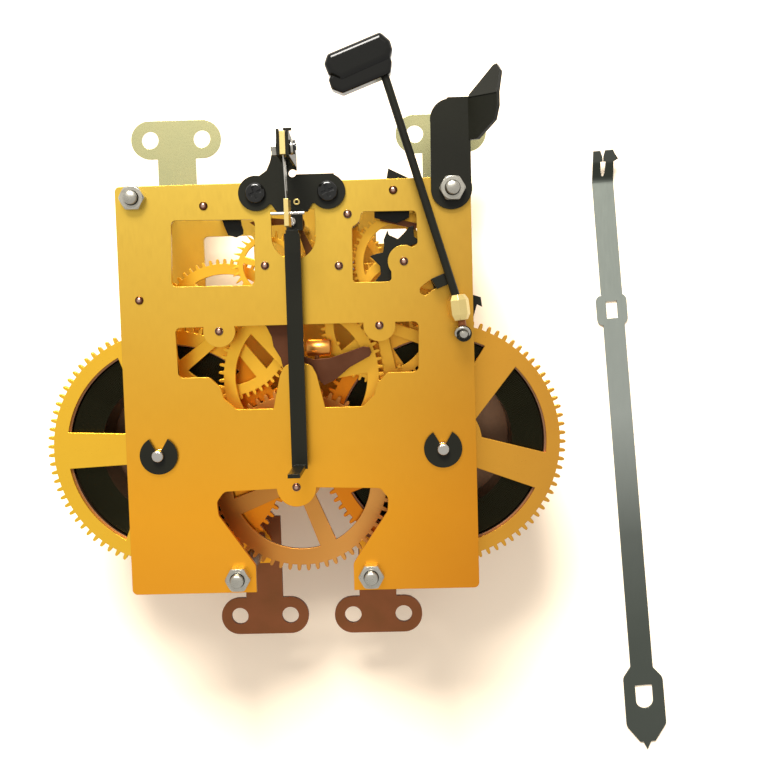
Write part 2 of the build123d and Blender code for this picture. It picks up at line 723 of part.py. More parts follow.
def make_barrel_side(name, side):
    """One great wheel with its drum, mainspring, winding arbor, ratchet and click."""
    place = (side * BARREL[0], BARREL[1])
    target = SECOND if side < 0 else PIN_WHEEL
    mate = SECOND_PINION if side < 0 else PIN_PINION
    module = module_of(GREAT_TEETH, mate, place, target)
    wheel = gear_face(GREAT_TEETH, module, WHEEL_FLANK, bearing(place, target))
    first_spoke = 180.0 if side < 0 else -17.8
    wheel -= crossings(CROSSING_RADIUS, 13.0, 5, 8.8, 12.0, first_spoke)
    wheel -= Circle(WINDING_CORE + RUNNING)
    nodes[name + "_great_wheel"] = slab(Pos(*place) * wheel, GREAT_Z, GREAT_Z + GREAT_THICK)
    drum = rod(place, DRUM_RADIUS, DRUM_FLOOR_Z, GREAT_Z)
    drum -= rod(place, DRUM_RADIUS - DRUM_WALL, DRUM_FLOOR_Z + DRUM_WALL, GREAT_Z + 1)
    drum -= rod(place, WINDING_CORE + RUNNING, DRUM_FLOOR_Z - 1, GREAT_Z)
    nodes[name + "_barrel"] = drum
    spring = slab(spiral_face(), SPRING_Z[0], SPRING_Z[1])
    if side > 0:
        spring = mirrored(spring)
    nodes[name + "_mainspring"] = Pos(place[0], place[1], 0) * spring
    arbor = slab(
        Pos(*place) * Rectangle(WINDING_SQUARE, WINDING_SQUARE), 0, SQUARE_LENGTH
    )
    arbor &= rod(place, 2.9, -1, SQUARE_LENGTH + 1)
    arbor += rod(place, 3.0, SQUARE_LENGTH, FRONT_TOP + END_SHAKE)
    arbor += rod(place, WINDING_CORE, FRONT_TOP + END_SHAKE, BACK_Z - END_SHAKE)
    arbor += rod(place, SPRING_HUB, DRUM_FLOOR_Z + DRUM_WALL + 0.3, GREAT_Z - 0.3)
    pivot = rod(place, WINDING_PIVOT, BACK_Z - END_SHAKE, WINDING_TOP)
    pivot = fillet(pivot.faces().sort_by(Axis.Z)[-1].edges(), 0.8)
    arbor += pivot
    groove = rod(place, 3.0, BACK_TOP + 0.15, BACK_TOP + 1.35)
    groove -= rod(place, CLIP_GROOVE, BACK_TOP, BACK_TOP + 2)
    nodes[name + "_winding_arbor"] = arbor - groove
    ratchet = ratchet_face(side)
    nodes[name + "_ratchet"] = slab(Pos(*place) * ratchet, RATCHET_Z, RATCHET_Z + RATCHET_THICK)
    click = click_face()
    if side > 0:
        click = mirrored(click)
    nodes[name + "_click"] = slab(Pos(*place) * click, RATCHET_Z, RATCHET_Z + RATCHET_THICK)


def ratchet_face(side):
    """Saw-toothed ratchet on the winding arbor."""
    points = []
    step = 360.0 / RATCHET_TEETH
    for i in range(RATCHET_TEETH):
        angle = i * step
        points.append(polar(RATCHET_RADIUS, side * angle))
        points.append(polar(RATCHET_RADIUS - 1.5, side * (angle + 1.5)))
    return outline(points) - Circle(3.0 + FIXED)


def click_face():
    """Click pivoted beside the ratchet, drawn for the left-hand barrel."""
    body = outline([(12.5, 5.6), (12.5, 10.4), (2.4, 11.0), (2.4, 8.95), (5.5, 8.2)])
    body += disc(CLICK_PIVOT, 2.6)
    return body - disc(CLICK_PIVOT, 1.0 + RUNNING)


def make_click_springs():
    """Bent leaf springs that press on the clicks, each with its riveted foot."""
    springs = []
    for side in (-1, 1):
        leaf = Polygon((-0.3, 17.0), (11.6, 17.0), (11.6, 17.5), (-0.3, 17.5), align=None)
        leaf += Polygon((-0.3, 17.5), (-0.3, 17.0), (2.6, 12.9), (3.1, 13.2), align=None)
        leaf += disc((12.5, 17.2), 2.2)
        if side > 0:
            leaf = mirrored(leaf)
        place = (side * BARREL[0], BARREL[1])
        springs.append(slab(Pos(*place) * leaf, RATCHET_Z, FRONT_Z))
    nodes["click_springs"] = Compound(children=springs)


def make_arbor_clips():
    """C-shaped retaining clips in the grooves of the winding arbors."""
    clips = []
    for side in (-1, 1):
        ring = Circle(CLIP_RADIUS) - Circle(CLIP_GROOVE + RUNNING)
        ring -= Polygon((0, 0), (-4.0, 7.0), (4.0, 7.0), align=None)
        ring = Pos(side * BARREL[0], BARREL[1]) * ring
        clips.append(slab(ring, BACK_TOP + 0.2, BACK_TOP + 1.2))
    nodes["arbor_clips"] = Compound(children=clips)


def make_going_train():
    """Second, centre, third and escape wheels on their arbors."""
    left = (-BARREL[0], BARREL[1])
    nodes["second_wheel"] = train_wheel(
        SECOND, CENTRE, SECOND_TEETH, CENTRE_PINION, SECOND_Z, 0.81, (4, 4.6, 5.6, -68.5), WHEEL_SEAT
    )
    module = module_of(GREAT_TEETH, SECOND_PINION, left, SECOND)
    pinion = (SECOND_PINION, module, gap_phase(left, SECOND, SECOND_PINION), GREAT_Z - 0.8, SECOND_Z)
    nodes["second_arbor"] = train_arbor(SECOND, 1.8, pinion, wheel_z=SECOND_Z, wheel_bore=WHEEL_SEAT - FIXED)
    nodes["centre_wheel"] = train_wheel(
        CENTRE, THIRD, CENTRE_TEETH, THIRD_PINION, CENTRE_Z, 0.85, (3, 4.6, 5.6, 10.0), CENTRE_SEAT
    )
    module = module_of(SECOND_TEETH, CENTRE_PINION, SECOND, CENTRE)
    pinion = (CENTRE_PINION, module, gap_phase(SECOND, CENTRE, CENTRE_PINION), SECOND_Z - 1.2, CENTRE_Z)
    centre = train_arbor(CENTRE, 2.0, pinion, wheel_z=CENTRE_Z, wheel_bore=CENTRE_SEAT - FIXED)
    centre += rod(CENTRE, HAND_TIP_RADIUS, 0, HAND_TIP_LENGTH)
    centre += rod(CENTRE, HAND_PIN_RADIUS, HAND_TIP_LENGTH, FRONT_TOP + END_SHAKE)
    nodes["centre_arbor"] = centre
    nodes["third_wheel"] = train_wheel(
        THIRD, ESCAPE, THIRD_TEETH, ESCAPE_PINION, THIRD_Z, 0.84, (4, 3.6, 4.2, 38.0), WHEEL_SEAT
    )
    module = module_of(CENTRE_TEETH, THIRD_PINION, CENTRE, THIRD)
    pinion = (THIRD_PINION, module, gap_phase(CENTRE, THIRD, THIRD_PINION), THIRD_Z + WHEEL_THICK, 59.4)
    nodes["third_arbor"] = train_arbor(THIRD, 1.6, pinion, wheel_z=THIRD_Z, wheel_bore=WHEEL_SEAT - FIXED)
    nodes["escape_wheel"] = make_escape_wheel()
    module = module_of(THIRD_TEETH, ESCAPE_PINION, THIRD, ESCAPE)
    pinion = (ESCAPE_PINION, module, gap_phase(THIRD, ESCAPE, ESCAPE_PINION), THIRD_Z - 1.0, ESCAPE_Z)
    nodes["escape_arbor"] = train_arbor(ESCAPE, 1.5, pinion, wheel_z=ESCAPE_Z, wheel_bore=SMALL_SEAT - FIXED)


def make_escape_wheel():
    """Escape wheel with thin leaning teeth and crossed-out spokes."""
    points = []
    step = 360.0 / ESCAPE_TEETH
    for i in range(ESCAPE_TEETH):
        angle = i * step
        points.append(polar(ESCAPE_RADIUS - 2.0, angle - 0.34 * step))
        points.append(polar(ESCAPE_RADIUS, angle + 0.16 * step))
        points.append(polar(ESCAPE_RADIUS, angle + 0.26 * step))
        points.append(polar(ESCAPE_RADIUS - 2.0, angle + 0.20 * step))
    face = outline(points)
    face -= crossings(ESCAPE_RADIUS - 3.6, 3.4, 5, 2.0, 2.2, 20.0)
    face -= Circle(SMALL_SEAT)
    return slab(Pos(*ESCAPE) * face, ESCAPE_Z, ESCAPE_Z + WHEEL_THICK)


def make_strike_train():
    """Pin wheel, locking wheel, warning wheel and the fly."""
    right = BARREL
    wheel = train_wheel(
        PIN_WHEEL, LOCK_WHEEL, PIN_TEETH, LOCK_PINION, PIN_WHEEL_Z, 0.84, (6, 3.4, 4.0, 40.0), WHEEL_SEAT
    )
    for i in range(8):
        place = polar(14.6, 22.5 + i * 45.0, PIN_WHEEL)
        wheel += rod(place, 0.6, PIN_WHEEL_Z + WHEEL_THICK, PIN_WHEEL_Z + WHEEL_THICK + 1.4)
    nodes["pin_wheel"] = wheel
    module = module_of(GREAT_TEETH, PIN_PINION, right, PIN_WHEEL)
    pinion = (PIN_PINION, module, gap_phase(right, PIN_WHEEL, PIN_PINION), GREAT_Z - 0.8, PIN_WHEEL_Z)
    nodes["pin_wheel_arbor"] = train_arbor(
        PIN_WHEEL, 1.6, pinion, wheel_z=PIN_WHEEL_Z, wheel_bore=WHEEL_SEAT - FIXED
    )
    nodes["locking_wheel"] = make_locking_wheel()
    module = module_of(PIN_TEETH, LOCK_PINION, PIN_WHEEL, LOCK_WHEEL)
    phase = gap_phase(PIN_WHEEL, LOCK_WHEEL, LOCK_PINION)
    pinion = (LOCK_PINION, module, phase, PIN_WHEEL_Z - 1.0, LOCK_WHEEL_Z)
    nodes["locking_arbor"] = train_arbor(
        LOCK_WHEEL, 1.4, pinion, wheel_z=LOCK_WHEEL_Z, wheel_bore=SMALL_SEAT - FIXED
    )
    nodes["warning_wheel"] = train_wheel(
        WARN_WHEEL, FLY, WARN_TEETH, FLY_PINION, WARN_WHEEL_Z, 0.82, (5, 2.6, 3.0, 0.0), SMALL_SEAT
    )
    module = module_of(LOCK_TEETH, WARN_PINION, LOCK_WHEEL, WARN_WHEEL)
    pinion = (WARN_PINION, module, gap_phase(LOCK_WHEEL, WARN_WHEEL, WARN_PINION), LOCK_WHEEL_Z - 1.0, 60.4)
    nodes["warning_arbor"] = train_arbor(
        WARN_WHEEL, 1.4, pinion, wheel_z=WARN_WHEEL_Z, wheel_bore=SMALL_SEAT - FIXED
    )
    module = module_of(WARN_TEETH, FLY_PINION, WARN_WHEEL, FLY)
    pinion = (FLY_PINION, module, gap_phase(WARN_WHEEL, FLY, FLY_PINION), WARN_WHEEL_Z - 1.4, 42.6)
    nodes["fly_arbor"] = train_arbor(FLY, PIVOT_RADIUS, pinion)
    vane = block((-FLY_RADIUS, -0.25, FLY_Z[0]), (FLY_RADIUS, 0.25, FLY_Z[1]))
    vane += rod(CENTRE, 2.1, FLY_Z[0], FLY_Z[1])
    vane -= rod(CENTRE, PIVOT_RADIUS + FIXED, FLY_Z[0] - 1, FLY_Z[1] + 1)
    nodes["fly"] = Pos(FLY[0], FLY[1], 0) * Rot(0, 0, 70) * vane


def make_locking_wheel():
    """Locking wheel with the curved crossings that show through the window."""
    module = module_of(LOCK_TEETH, WARN_PINION, LOCK_WHEEL, WARN_WHEEL)
    face = gear_face(LOCK_TEETH, module, WHEEL_FLANK, bearing(LOCK_WHEEL, WARN_WHEEL))
    rim = 12.6
    ring = Circle(rim) - Circle(4.2)
    for i in range(3):
        spoke = Pos(7.6, 3.4) * Circle(8.6) - Pos(8.6, 5.6) * Circle(7.6)
        ring -= Rot(0, 0, 95 + i * 120) * spoke
    windows = [piece for piece in ring.faces() if piece.area > 8.0]
    for window in windows:
        face -= window
    face -= Circle(SMALL_SEAT)
    return slab(Pos(*LOCK_WHEEL) * face, LOCK_WHEEL_Z, LOCK_WHEEL_Z + WHEEL_THICK)


def lever_arbor(place):
    """Plain steel arbor of a lever."""
    return rod(place, LEVER_ARBOR_RADIUS, FRONT_TOP + END_SHAKE, BACK_Z - END_SHAKE) + pivots(place)


def make_levers():
    """Strike-control levers between the plates."""
    lock = outline([
        (28.6, 60.4), (29.2, 63.6), (35.2, 60.6), (36.2, 55.6), (41.4, 50.8), (41.0, 42.4), (37.6, 40.6),
        (35.3, 39.9), (32.2, 39.6), (30.0, 38.4), (29.0, 36.9), (29.3, 33.9), (29.6, 29.9), (29.1, 28.6),
        (23.6, 28.6), (26.1, 31.5), (25.9, 34.0), (22.9, 37.1), (25.1, 37.8), (26.9, 38.1), (27.3, 40.1),
        (27.2, 41.9), (28.5, 44.9), (28.9, 43.4), (31.6, 42.1), (33.5, 43.8), (35.1, 45.6), (36.5, 46.0),
        (36.6, 42.6), (37.9, 41.8), (38.3, 47.0), (38.2, 50.8), (35.4, 51.2), (35.2, 48.5), (31.3, 46.9),
        (24.6, 48.7), (24.6, 51.4), (27.4, 54.6),
    ])
    lock = slab(lock + disc(LOCK_LEVER, LEVER_HUB_RADIUS), LEVER_Z, LEVER_Z + LEVER_THICK)
    nodes["locking_lever"] = lock + lever_arbor(LOCK_LEVER)
    warn = outline([
        (-29.6, 55.8), (-25.0, 56.2), (-16.7, 50.4), (-16.4, 48.0), (-15.9, 46.2), (-16.0, 45.0),
        (-18.2, 44.0), (-20.6, 44.8), (-21.7, 47.6), (-22.3, 49.8), (-29.4, 51.4),
    ])
    warn = slab(warn + disc(WARN_LEVER, LEVER_HUB_RADIUS), LEVER_Z, LEVER_Z + LEVER_THICK)
    nodes["warning_lever"] = warn + lever_arbor(WARN_LEVER)
    lift = outline([
        (-47.9, 27.6), (-6.0, 21.4), (-3.0, 18.6), (-2.2, 12.0), (0.4, 7.2), (4.3, 5.8), (9.6, 6.1),
        (15.4, 7.9), (19.9, 9.4), (21.9, 9.1), (22.5, 7.5), (22.0, 6.4), (15.7, 3.1), (13.0, 0.9),
        (11.2, -0.6), (7.6, -2.3), (5.2, 0.2), (3.4, 3.2), (0.0, 4.2), (-4.4, 3.2), (-5.1, 3.6), (-5.7, 6.5),
        (-7.8, 10.1), (-8.3, 13.2), (-9.8, 16.4), (-13.0, 18.6), (-47.9, 23.4),
    ])
    lift = slab(lift + disc(LIFT_LEVER, LEVER_HUB_RADIUS), LEVER_Z, LEVER_Z + LEVER_THICK)
    nodes["lifting_lever"] = lift + lever_arbor(LIFT_LEVER)


def turned_bar(start, end, radius, height):
    """Round bar between two points of one level."""
    direction = Vector(end[0] - start[0], end[1] - start[1], 0)
    plane = Plane(origin=(start[0], start[1], height), z_dir=direction)
    return extrude(plane * Circle(radius), amount=direction.length)


def hammer_point(offset):
    """Point given from the hammer arbor."""
    return (HAMMER[0] + offset[0], HAMMER[1] + offset[1])


def make_hammer():
    """Hammer arbor with its tail, brass hub, rod and grooved head."""
    level = LEVER_Z
    tail = disc(HAMMER, 3.4)
    spring_arm = [polar(3.2, 30, HAMMER), (55.4, 21.4), (57.0, 20.6), (56.6, 23.6), (53.6, 24.6)]
    tail += outline(spring_arm + [polar(3.2, 110, HAMMER)])
    slot_arm = [polar(3.2, 60, HAMMER), polar(19.0, 106, HAMMER), polar(19.0, 119, HAMMER)]
    tail += outline(slot_arm + [polar(3.2, 170, HAMMER)])
    tail += outline([polar(3.2, 140, HAMMER), (40.6, 13.4), (40.0, 10.8), polar(3.2, 220, HAMMER)])
    body = slab(tail, level, level + LEVER_THICK)
    tab_top = HAMMER_Z - ROD_RADIUS - RUNNING
    body += slab(tab_face(107, TAB), level, tab_top)
    body += slab(tab_face(105, TAB_HEAD), BACK_TOP + 1.6, tab_top)
    body += rod(HAMMER, HAMMER_ARBOR_RADIUS, level - 1.6, 77.6)
    body += rod(HAMMER, 2.4, BACK_TOP + 0.6, 77.0)
    body += rod(HAMMER, 2.4, level - 1.0, BACK_Z - END_SHAKE)
    nodes["hammer_arbor"] = body
    low = hammer_point(HUB_LOW)
    high = hammer_point(HUB_HIGH)
    direction = Vector(high[0] - low[0], high[1] - low[1], 0)
    plane = Plane(origin=(low[0], low[1], HAMMER_Z), z_dir=direction)
    hub = extrude(plane * RegularPolygon(3.2, 8, major_radius=False), amount=direction.length)
    ends = [hub.faces().sort_by(Axis.Y)[0], hub.faces().sort_by(Axis.Y)[-1]]
    hub = chamfer(ends[0].edges() + ends[1].edges(), 0.9)
    neck = turned_bar(HAMMER, low, 1.3, HAMMER_Z)
    neck -= rod(HAMMER, 2.4, 60, 90)
    nodes["hammer_hub"] = (hub + neck) - hammer_rod()
    nodes["hammer_rod"] = hammer_rod()
    nodes["hammer_head"] = make_hammer_head()


def tab_face(first_degrees, ring):
    """Part of a ring round the hammer arbor, cut with straight sides."""
    inner, outer, last_degrees = ring
    return outline([
        polar(inner, first_degrees, HAMMER), polar(outer, first_degrees, HAMMER),
        polar(outer, last_degrees, HAMMER), polar(inner, last_degrees, HAMMER),
    ])


def hammer_rod():
    """Long rod from inside the hub to inside the head."""
    start = hammer_point((HUB_HIGH[0] * 0.6, HUB_HIGH[1] * 0.6))
    return turned_bar(start, hammer_point(ROD_END), ROD_RADIUS, HAMMER_Z)


def make_hammer_head():
    """Moulded head: a thick rounded upper lobe and a flatter lower one, with a step between them."""
    head = lobe(HEAD_UPPER, HEAD_UPPER_THICK, 1.9) + lobe(HEAD_LOWER, HEAD_LOWER_THICK, 1.1)
    middle = hammer_point(HEAD_MID)
    head = Pos(middle[0], middle[1], HAMMER_Z - 0.6) * Rot(0, 0, HEAD_TILT) * head
    return head - hammer_rod()


def lobe(points, thick, round_radius):
    """One lobe of the head, rounded round its outline and along both faces."""
    body = extrude(rounded(points, 1.3), amount=thick / 2, both=True)
    rims = body.faces().sort_by(Axis.Z)
    return fillet(rims[0].edges() + rims[-1].edges(), round_radius)


def make_motion_work():
    """Cannon pinion, minute wheel, and hour wheel with its snail."""
    cannon_module = 2 * distance(CENTRE, MOTION_STUD) / (CANNON_TEETH + MINUTE_TEETH)
    hour_module = 2 * distance(CENTRE, MOTION_STUD) / (MINUTE_PINION + HOUR_TEETH)
    heading = bearing(MOTION_STUD, CENTRE)
    cannon = rod(CENTRE, CANNON_RADIUS, 10.0, 25.8)
    cannon += slab(Rectangle(3.5, 3.5), 7.0, 10.0)
    leaves = gear_face(CANNON_TEETH, cannon_module, PINION_FLANK, heading + math.pi + math.pi / CANNON_TEETH)
    cannon += slab(leaves, 22.4, 25.4)
    nodes["cannon_pinion"] = cannon - rod(CENTRE, HAND_PIN_RADIUS + FIXED, 0, FRONT_Z)
    minute = gear_face(MINUTE_TEETH, cannon_module, WHEEL_FLANK, heading)
    minute = slab(minute, 23.0, 24.2)
    leaves = gear_face(MINUTE_PINION, hour_module, PINION_FLANK, heading)
    minute += slab(leaves, 17.6, 23.0)
    minute = Pos(MOTION_STUD[0], MOTION_STUD[1], 0) * minute
    nodes["minute_wheel"] = minute - rod(MOTION_STUD, 1.0 + RUNNING, 10, 30)
    gap = heading + math.pi + math.pi / HOUR_TEETH
    hour = slab(gear_face(HOUR_TEETH, hour_module, WHEEL_FLANK, gap), 19.0, 20.2)
    hour += rod(CENTRE, HOUR_PIPE_RADIUS, 11.0, 19.0)
    hour += slab(snail_face(), SNAIL_Z, 19.0)
    nodes["hour_wheel"] = hour - rod(CENTRE, CANNON_RADIUS + RUNNING, 0, 25)
    nodes["rack"] = make_rack()


def snail_face():
    """Stepped snail, one step for each hour."""
    points = []
    for i in range(SNAIL_STEPS):
        radius = 9.6 - i * 0.42
        points.append(polar(radius, i * 30.0))
        points.append(polar(radius, i * 30.0 + 15.0))
        points.append(polar(radius, i * 30.0 + 30.0))
    return outline(points)


def make_rack():
    """Rack with its tail beside the snail and a short toothed arc."""
    tail = outline([
        (RACK_STUD[0], RACK_STUD[1] + 2.0), (-10.6, 1.4), (-9.9, 0.6), (-10.5, -0.6), (-22.0, -11.6),
    ])
    arm = outline([(-22.2, -9.0), (-25.8, -9.0), (-33.4, 12.4), (-31.2, 15.2), (-29.2, 15.4)])
    face = disc(RACK_STUD, 3.0) + tail + arm
    points = []
    for i in range(12):
        angle = 106.0 + i * 2.0
        points.append(polar(25.6, angle, RACK_STUD))
        points.append(polar(24.6, angle + 0.5, RACK_STUD))
    points.append(polar(22.4, 129.0, RACK_STUD))
    points.append(polar(22.4, 106.0, RACK_STUD))
    face += outline(points)
    face -= disc(RACK_STUD, 1.0 + RUNNING)
    return slab(face, SNAIL_Z, SNAIL_Z + WHEEL_THICK)


def leader_fork():
    """Two prongs that rise from the strip with a slot between them; each ends in a flatter tab."""
    profile = [(LEADER_FORK_Y, 0), (-3.4, 4.2), (0.4, 5.2), (0.2, 6.0), (-3.7, 5.0), (LEADER_FORK_Y, 0.8)]
    bent = extrude(outline([(0, y, z) for y, z in profile]), amount=8, both=True)
    prongs = outline([(-3.75, LEADER_FORK_Y), (3.75, LEADER_FORK_Y), (3.7, -3.2), (-3.6, -3.2)])
    prongs -= outline([(-1.0, -3.2), (1.0, -3.2), (0.7, -7.0), (0.2, -8.4), (-0.4, -8.4), (-0.8, -7.0)])
    left_tab = outline([(-3.6, -3.5), (-0.1, -3.5), (-0.2, -1.8), (-0.9, 0.4), (-3.3, 0.4)])
    right_tab = outline([(0.1, -3.5), (3.9, -3.7), (5.4, -3.0), (4.3, -1.2), (3.6, 0.4), (0.9, 0.4), (0.2, -1.8)])
    return bent & slab(prongs + left_tab + right_tab, -1, 8)


def make_leader():
    """Pendulum leader: a long flat strip with a forked top, a slotted boss and a D-shaped eye."""
    edge = [(-3.75, LEADER_FORK_Y), (-3.9, -188.6), (-6.9, -192.6), (-7.0, -210.8), (-2.4, -217.2)]
    edge += [(3.2, -217.2), (7.7, -210.8), (7.6, -193.2), (4.3, -189.2), (3.75, LEADER_FORK_Y)]
    face = outline(edge)
    face = fillet(face.vertices().filter_by(lambda v: -211 < v.Y < -190), 3.0)
    face += Pos(-0.3, -LEADER_HOLE_AT) * RectangleRounded(11.0, 10.8, 2.2)
    face += outline([(-1.4, -216.8), (1.8, -216.8), (0.0, -LEADER_LENGTH)])
    face -= Pos(-0.3, -LEADER_HOLE_AT) * Rectangle(4.0, 6.2)
    face -= Pos(LEADER_EYE_X, -198.5) * Rectangle(6.3, 5.8)
    face -= Pos(LEADER_EYE_X, -201.4) * Circle(3.15)
    strip = slab(face, 0, LEADER_THICK) + leader_fork()
    strip = Rot(0, 0, LEADER_TILT) * strip
    nodes["pendulum_leader"] = Pos(LEADER_TOP[0], LEADER_TOP[1], 0) * strip


make_plates()
make_pillars()
make_feet()
make_front_studs()
make_suspension()
make_strap()
make_crutch()
make_barrel_side("going", -1)
make_barrel_side("strike", 1)
make_click_springs()
make_arbor_clips()
make_going_train()
make_strike_train()
make_levers()
make_hammer()
make_motion_work()
make_leader()

print("least gap between the mainspring's turns:", round(spring_gap(), 2), "mm")
for name, shape in nodes.items():
    export_step(shape, "parts/" + name + ".step")
print(len(nodes), "nodes written")
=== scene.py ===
# %% [markdown]
# A longcase clock movement lies dial side down on a pale table, with its loose pendulum leader beside it.
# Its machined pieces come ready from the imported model, so the script starts by loading them. The scene
# is in metres, and the sizes of the movement and of its new pieces are written in millimetres.

# %% Load the movement
import math
import bmesh
import bpy
import numpy as np
from mathutils import Matrix, Vector


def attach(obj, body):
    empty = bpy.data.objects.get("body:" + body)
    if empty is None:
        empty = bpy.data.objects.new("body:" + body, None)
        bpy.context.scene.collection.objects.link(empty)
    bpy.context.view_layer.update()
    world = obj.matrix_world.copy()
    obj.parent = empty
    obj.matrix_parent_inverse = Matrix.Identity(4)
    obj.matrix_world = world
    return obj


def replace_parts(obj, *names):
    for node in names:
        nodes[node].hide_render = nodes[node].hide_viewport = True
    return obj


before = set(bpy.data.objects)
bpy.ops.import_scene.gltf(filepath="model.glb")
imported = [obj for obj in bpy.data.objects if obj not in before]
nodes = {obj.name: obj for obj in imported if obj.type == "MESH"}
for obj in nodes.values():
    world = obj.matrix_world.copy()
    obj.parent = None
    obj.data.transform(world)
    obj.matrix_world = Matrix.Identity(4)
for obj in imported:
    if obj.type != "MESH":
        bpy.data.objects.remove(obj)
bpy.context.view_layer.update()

MM = 0.001
print("nodes loaded:", len(nodes))

# %% [markdown]
# Colours are noted the way a paint shop would note them, as sRGB hex values. The renderer works with
# linear light, so one function turns the first into the second.

# %% Colours and shader nodes
def colour(hex_value):
    """Linear colour of an sRGB hex value, by the two-part sRGB curve."""
    parts = [int(hex_value[i:i + 2], 16) / 255 for i in (1, 3, 5)]
    return tuple(p / 12.92 if p <= 0.04045 else ((p + 0.055) / 1.055) ** 2.4 for p in parts) + (1.0,)


def add(material, kind, inputs=None, **settings):
    """Adds one shader node. An input is a value, or another node's output to link."""
    new = material.node_tree.nodes.new(kind)
    for name, value in settings.items():
        setattr(new, name, value)
    for key, value in (inputs or {}).items():
        if isinstance(value, bpy.types.NodeSocket):
            material.node_tree.links.new(value, new.inputs[key])
        else:
            new.inputs[key].default_value = value
    return new


print("linear value of mid grey:", round(colour("#808080")[0], 3))

# %% [markdown]
# The camera hangs over the table a little above and to the right of the movement's middle, and looks
# almost straight down. Its place, turn and lens were worked out from the plate's corners, whose real
# distances are known, so the perspective agrees with the depth of the movement.

# %% Camera
CAMERA_PLACE = (34.25, 23.37, 416.8)
CAMERA_RIGHT = (0.9994, -0.0281, -0.0223)
CAMERA_UP = (0.0263, 0.9967, -0.0773)
CAMERA_BACK = (0.0244, 0.0767, 0.9968)
SENSOR_MM = 36.0
LENS_MM = 52.95

camera_data = bpy.data.cameras.new("camera")
camera_data.sensor_fit = "VERTICAL"
camera_data.sensor_height = SENSOR_MM
camera_data.lens = LENS_MM
camera_data.clip_start = 0.01
camera = bpy.data.objects.new("camera", camera_data)
turn = Matrix((CAMERA_RIGHT, CAMERA_UP, CAMERA_BACK)).transposed().to_4x4()
camera.matrix_world = Matrix.Translation(Vector(CAMERA_PLACE) * MM) @ turn
bpy.context.scene.collection.objects.link(camera)
bpy.context.scene.camera = camera
print("lens", LENS_MM, "mm, height above the table", CAMERA_PLACE[2], "mm")

# %% [markdown]
# The table is a plain white sheet. Most of the light is a pale sky all round, and one large soft lamp
# beyond twelve o'clock gives the shadows their direction. The camera sees the sheet in a warmer tint
# than the one that lights the movement, so it is white in the open and warm in the shadow.

# %% Table and lights
TABLE_SIZE = 6.0
SKY_STRENGTH = 0.78
SKY_TINT = "#FFFDFA"
KEY_WATTS = 36.0
KEY_SIZE = 0.5
KEY_PLACE = (-0.12, 0.89, 0.89)
KEY_TARGET = (0.03, 0, 0.03)
KEY_TINT = "#FFFBF4"
PAPER_TINT = "#C8C7C5"
TABLE_SEEN = (0.56, 0.475, 0.375, 1.0)


def make_table():
    """Flat square sheet with its middle under the movement."""
    half = TABLE_SIZE / 2
    corners = [(-half, -half, 0), (half, -half, 0), (half, half, 0), (-half, half, 0)]
    mesh = bpy.data.meshes.new("table")
    mesh.from_pydata(corners, [], [(0, 1, 2, 3)])
    table = bpy.data.objects.new("table", mesh)
    bpy.context.scene.collection.objects.link(table)
    paper = bpy.data.materials.new("white_paper")
    paper.use_nodes = True
    shader = paper.node_tree.nodes["Principled BSDF"]
    shader.inputs["Base Color"].default_value = colour(PAPER_TINT)
    shader.inputs["Roughness"].default_value = 0.9
    shader.inputs["Specular IOR Level"].default_value = 0.1
    warm = add(paper, "ShaderNodeBsdfDiffuse", {"Color": TABLE_SEEN})
    both = add(paper, "ShaderNodeAddShader", {0: warm.outputs[0], 1: warm.outputs[0]})
    path = add(paper, "ShaderNodeLightPath")
    seen = add(paper, "ShaderNodeMixShader",
               {0: path.outputs["Is Camera Ray"], 1: shader.outputs[0], 2: both.outputs[0]})
    output = paper.node_tree.nodes["Material Output"]
    paper.node_tree.links.new(seen.outputs[0], output.inputs["Surface"])
    mesh.materials.append(paper)


def make_sky():
    """Even pale surroundings, full white where the camera sees them."""
    world = bpy.data.worlds.new("studio")
    world.use_nodes = True
    bpy.context.scene.world = world
    background = world.node_tree.nodes["Background"]
    background.inputs["Color"].default_value = colour(SKY_TINT)
    path = add(world, "ShaderNodeLightPath")
    steps = {0: path.outputs["Is Camera Ray"], 1: 1.0 - SKY_STRENGTH, 2: SKY_STRENGTH}
    bright = add(world, "ShaderNodeMath", steps, operation="MULTIPLY_ADD")
    world.node_tree.links.new(bright.outputs[0], background.inputs["Strength"])


def make_lamp(name, place, target, size, watts, tint):
    """Square area lamp that faces a point near the table."""
    data = bpy.data.lights.new(name, "AREA")
    data.shape = "SQUARE"
    data.size = size
    data.energy = watts
    data.color = colour(tint)[:3]
    lamp = bpy.data.objects.new(name, data)
    lamp.location = place
    aim = Vector(target) - Vector(place)
    lamp.rotation_euler = aim.to_track_quat("-Z", "Y").to_euler()
    bpy.context.scene.collection.objects.link(lamp)


make_table()
make_sky()
make_lamp("key", KEY_PLACE, KEY_TARGET, KEY_SIZE, KEY_WATTS, KEY_TINT)
bpy.context.scene.view_settings.view_transform = "Standard"
print("sky", SKY_STRENGTH, "key lamp", KEY_WATTS, "W")

# %% [markdown]
# First the metals. A metal's colour is in its reflection, so it takes its tint from the base colour at
# full metallic, and its character from roughness and fine relief. The helper below gives every metal
# the same three things: a slow change of tint, a fine grain in the finish, and edges that catch light.
# The plates, the wheels, the leader and the arbor ends also carry painted light and shade: colour bands
# along one direction that stand in for how the light falls on them, each noted where its band is set.

# %% A worked metal
EDGE_RADIUS = 0.18
GRAIN_DEPTH = 0.1
# How much of the tint the band of painted light and shade replaces.
PAINTED_LIGHT_SHARE = 0.8


def drift(made, where, tints, patch_mm):
    """Tint that changes slowly between two colours in patches."""
    patches = add(made, "ShaderNodeTexNoise", {"Vector": where, "Scale": 1000 / patch_mm, "Detail": 4.0})
    tint = add(made, "ShaderNodeMix", {"Factor": patches.outputs["Fac"]}, data_type="RGBA")
    tint.inputs[6].default_value = colour(tints[0])
    tint.inputs[7].default_value = colour(tints[1])
    return tint.outputs[2]


